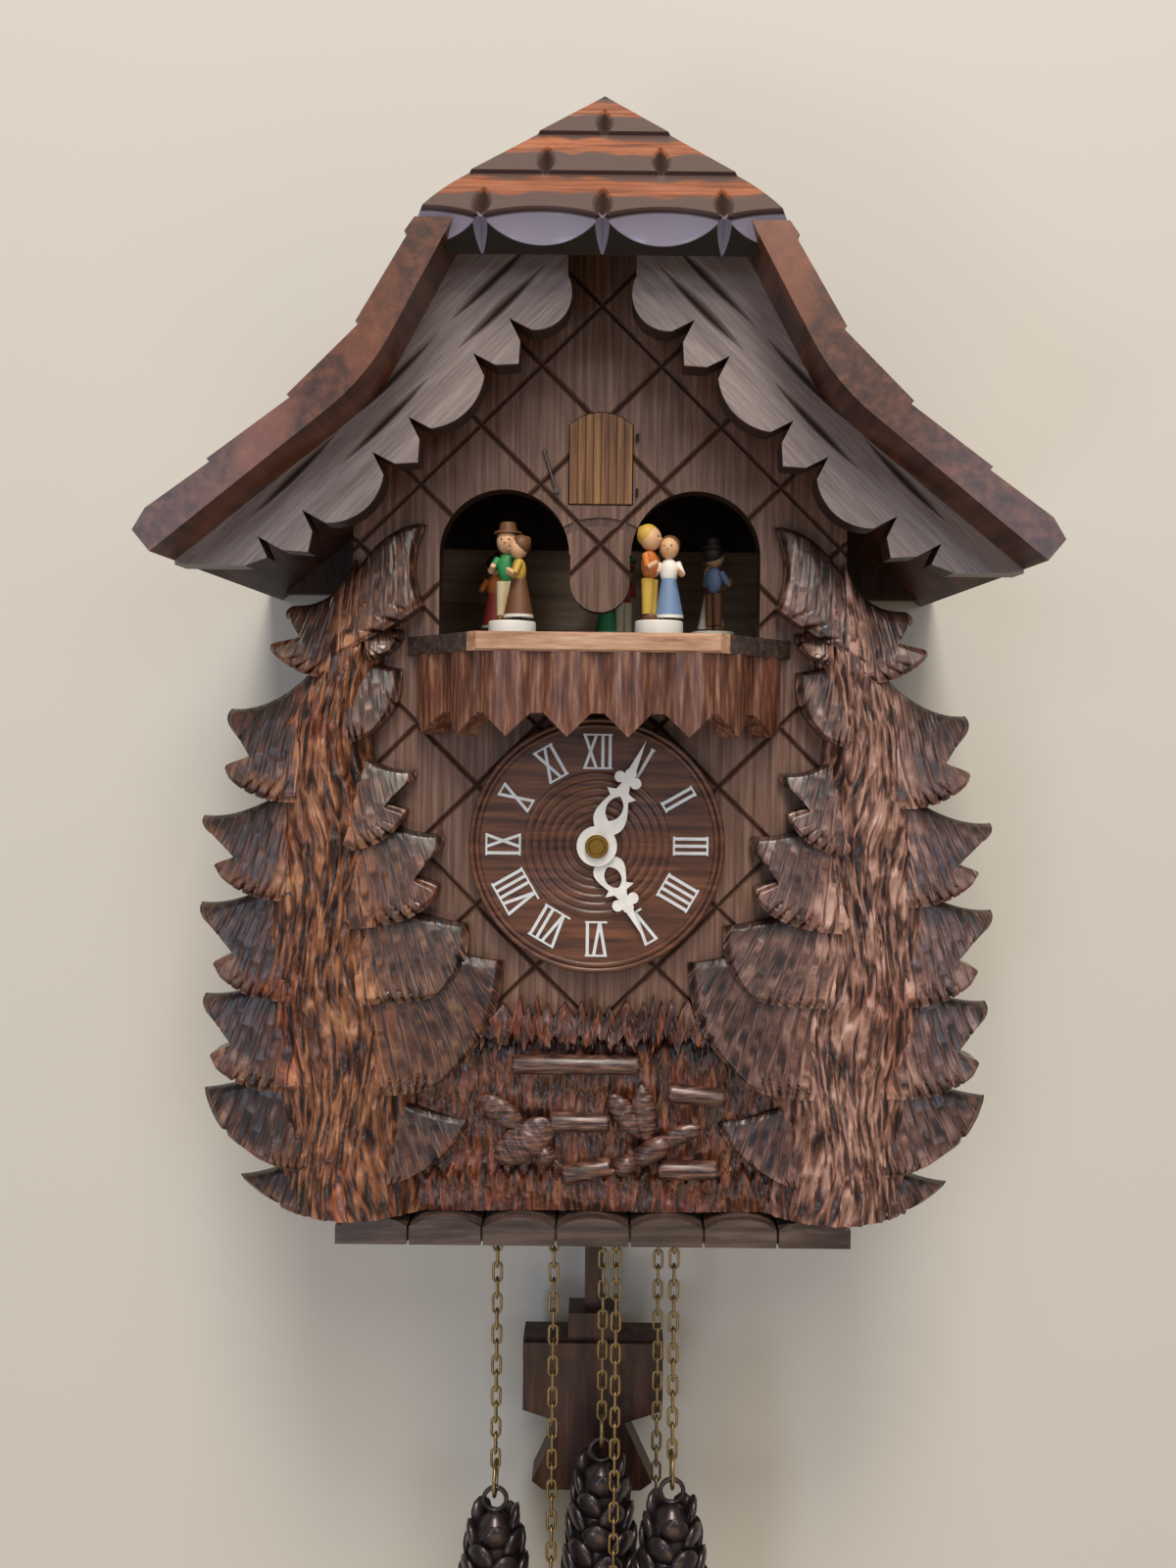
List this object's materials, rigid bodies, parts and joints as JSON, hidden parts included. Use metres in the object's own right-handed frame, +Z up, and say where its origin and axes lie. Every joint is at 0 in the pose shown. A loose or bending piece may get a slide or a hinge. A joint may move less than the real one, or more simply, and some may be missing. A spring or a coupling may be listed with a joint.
{
  "type": "cuckoo clock",
  "caption": "Chalet cuckoo clock with carved firs, shingle roof, turntable of dancers, cuckoo behind a door, chain-driven cone weights and a swinging pendulum.",
  "frame": {"origin": "centre of the hanger hole on the wall plane", "axes": "+X to the viewer's right, +Y into the wall, +Z up"},
  "size_m": [0.2664, 0.138, 0.6379],
  "materials": {
    "roof_lacquer": "dark red-brown glossy lacquer",
    "verge_wood": "grey-brown stain, satin",
    "panel_wood": "grey-brown stain with fine grain, satin",
    "trim_wood": "red-brown lacquer",
    "pale_wood": "clear varnish",
    "carved_wood": "carved, red-brown lacquer with darker hollows",
    "dial_wood": "turned, dark stain, satin",
    "white_plastic": "white, lightly glossy",
    "brass": "plain",
    "chain_brass": "antique, darkened",
    "steel_wire": "plain wire",
    "cast_iron": "brown paint",
    "dark_wood": "dark brown lacquer",
    "painted_resin": "hand painted",
    "painted_wood": "painted",
    "bellows_paper": "folded paper and thin wood",
    "grey_steel": "plain sheet"
  },
  "bodies": {
    "case": {"back_board": "panel_wood", "left_wall": "panel_wood", "right_wall": "panel_wood", "bottom_board": "panel_wood", "front_panel": "panel_wood", "roof_left": "roof_lacquer", "roof_right": "roof_lacquer", "roof_hip": "roof_lacquer", "verge_left": "verge_wood", "verge_right": "verge_wood", "balcony_sill": "trim_wood", "balcony_lip": "pale_wood", "picket_valance": "trim_wood", "base_trim": "trim_wood", "dial": "dial_wood", "dial_numerals": "white_plastic", "left_tree": "carved_wood", "right_tree": "carved_wood", "meadow_relief": "carved_wood", "carved_birds": "carved_wood", "hinge_wires": "steel_wire", "movement_frame": "brass", "escape_wheel": "brass", "gong_coil": "steel_wire", "bellows": "bellows_paper", "bird_guide": "pale_wood", "music_frame": "brass", "carousel_bridge": "grey_steel", "stage_board": "panel_wood"},
    "minute": {"centre_arbor": "brass", "minute_hand": "white_plastic", "hand_nut": "brass"},
    "hour": {"hour_wheel": "brass", "hour_hand": "white_plastic"},
    "minute_work": {"minute_wheel": "brass"},
    "pendulum": {"verge_anchor": "steel_wire", "pendulum_leader": "steel_wire", "pendulum_rod": "dark_wood", "pendulum_bob": "dark_wood"},
    "cuckoo": {"cuckoo_bird": "painted_wood", "bird_arm": "pale_wood"},
    "cuckoo_door": {"bird_door": "pale_wood"},
    "latch": {"door_latch": "steel_wire"},
    "turntable": {"carousel_disc": "trim_wood", "dancers": "painted_resin"},
    "turntable_drive": {"carousel_shaft": "brass"},
    "music_barrel": {"music_cylinder": "brass"},
    "hatch": {"back_door": "panel_wood"},
    "going_load": {"going_weight": "cast_iron", "going_chain_loaded": "chain_brass"},
    "going_tail": {"going_chain_free": "chain_brass"},
    "going_wheel": {"going_sprocket": "brass"},
    "strike_load": {"strike_weight": "cast_iron", "strike_chain_loaded": "chain_brass"},
    "strike_tail": {"strike_chain_free": "chain_brass"},
    "strike_wheel": {"strike_sprocket": "brass"},
    "music_load": {"music_weight": "cast_iron", "music_chain_loaded": "chain_brass"},
    "music_tail": {"music_chain_free": "chain_brass"},
    "music_wheel": {"music_sprocket": "brass"}
  },
  "joints": [
    {"name": "minute_turn", "type": "hinge", "parent": "case", "child": "minute", "pos_m": [0, -0.092, -0.16], "axis": [0, 1, 0], "continuous": true},
    {"name": "hour_turn", "type": "hinge", "parent": "case", "child": "hour", "pos_m": [0, -0.092, -0.16], "axis": [0, 1, 0], "continuous": true},
    {"name": "minute_work_turn", "type": "hinge", "parent": "case", "child": "minute_work", "pos_m": [0, -0.064, -0.181], "axis": [0, 1, 0], "continuous": true},
    {"name": "pendulum_swing", "type": "hinge", "parent": "case", "child": "pendulum", "pos_m": [0, -0.0255, -0.128], "axis": [0, 1, 0], "range_deg": [-4, 4]},
    {"name": "cuckoo_slide", "type": "slide", "parent": "case", "child": "cuckoo", "axis": [0, -1, 0], "range_m": [0, 0.028]},
    {"name": "cuckoo_door_hinge", "type": "hinge", "parent": "case", "child": "cuckoo_door", "pos_m": [0.0108, -0.0933, -0.035], "axis": [0, 0, 1], "range_deg": [0, 110]},
    {"name": "latch_turn", "type": "hinge", "parent": "case", "child": "latch", "pos_m": [-0.0143, -0.0932, -0.046], "axis": [0, 1, 0], "range_deg": [-30, 30]},
    {"name": "turntable_turn", "type": "hinge", "parent": "case", "child": "turntable", "pos_m": [0, -0.0686, -0.0938], "axis": [0, 0, 1], "continuous": true},
    {"name": "turntable_drive_turn", "type": "hinge", "parent": "case", "child": "turntable_drive", "pos_m": [0.0231, -0.0686, -0.16], "axis": [0, 0, 1], "continuous": true},
    {"name": "music_barrel_turn", "type": "hinge", "parent": "case", "child": "music_barrel", "pos_m": [-0.018, -0.073, -0.24375], "axis": [1, 0, 0], "continuous": true},
    {"name": "hatch_hinge", "type": "hinge", "parent": "case", "child": "hatch", "pos_m": [-0.0502, 0, -0.189], "axis": [0, 0, 1], "range_deg": [0, 100]},
    {"name": "going_weight_drop", "type": "slide", "parent": "case", "child": "going_load", "axis": [0, 0, -1], "range_m": [-0.07, 0.07]},
    {"name": "going_tail_rise", "type": "slide", "parent": "case", "child": "going_tail", "axis": [0, 0, 1], "range_m": [-0.07, 0.07]},
    {"name": "going_wheel_turn", "type": "hinge", "parent": "case", "child": "going_wheel", "pos_m": [-0.024, -0.056, -0.195], "axis": [0, 1, 0], "continuous": true},
    {"name": "strike_weight_drop", "type": "slide", "parent": "case", "child": "strike_load", "axis": [0, 0, -1], "range_m": [-0.025, 0.07]},
    {"name": "strike_tail_rise", "type": "slide", "parent": "case", "child": "strike_tail", "axis": [0, 0, 1], "range_m": [-0.025, 0.07]},
    {"name": "strike_wheel_turn", "type": "hinge", "parent": "case", "child": "strike_wheel", "pos_m": [0.0135, -0.045, -0.195], "axis": [0, 1, 0], "continuous": true},
    {"name": "music_weight_drop", "type": "slide", "parent": "case", "child": "music_load", "axis": [0, 0, -1], "range_m": [-0.008, 0.035]},
    {"name": "music_tail_rise", "type": "slide", "parent": "case", "child": "music_tail", "axis": [0, 0, 1], "range_m": [-0.008, 0.035]},
    {"name": "music_wheel_turn", "type": "hinge", "parent": "case", "child": "music_wheel", "pos_m": [0.018, -0.066, -0.24], "axis": [0, 1, 0], "continuous": true}
  ],
  "couplings": [
    {"joint": "hour_turn", "follows": "minute_turn", "ratio": 0.083333},
    {"joint": "minute_work_turn", "follows": "minute_turn", "ratio": -0.33333},
    {"joint": "cuckoo_door_hinge", "follows": "cuckoo_slide", "rad_per_m": 68.566},
    {"joint": "turntable_drive_turn", "follows": "turntable_turn", "ratio": -1.3333},
    {"joint": "music_barrel_turn", "follows": "turntable_turn", "ratio": 1},
    {"joint": "going_tail_rise", "follows": "going_weight_drop", "ratio": 1},
    {"joint": "going_wheel_turn", "follows": "going_weight_drop", "rad_per_m": -100},
    {"joint": "strike_tail_rise", "follows": "strike_weight_drop", "ratio": 1},
    {"joint": "strike_wheel_turn", "follows": "strike_weight_drop", "rad_per_m": -100},
    {"joint": "music_tail_rise", "follows": "music_weight_drop", "ratio": 1},
    {"joint": "music_wheel_turn", "follows": "music_weight_drop", "rad_per_m": 100}
  ]
}
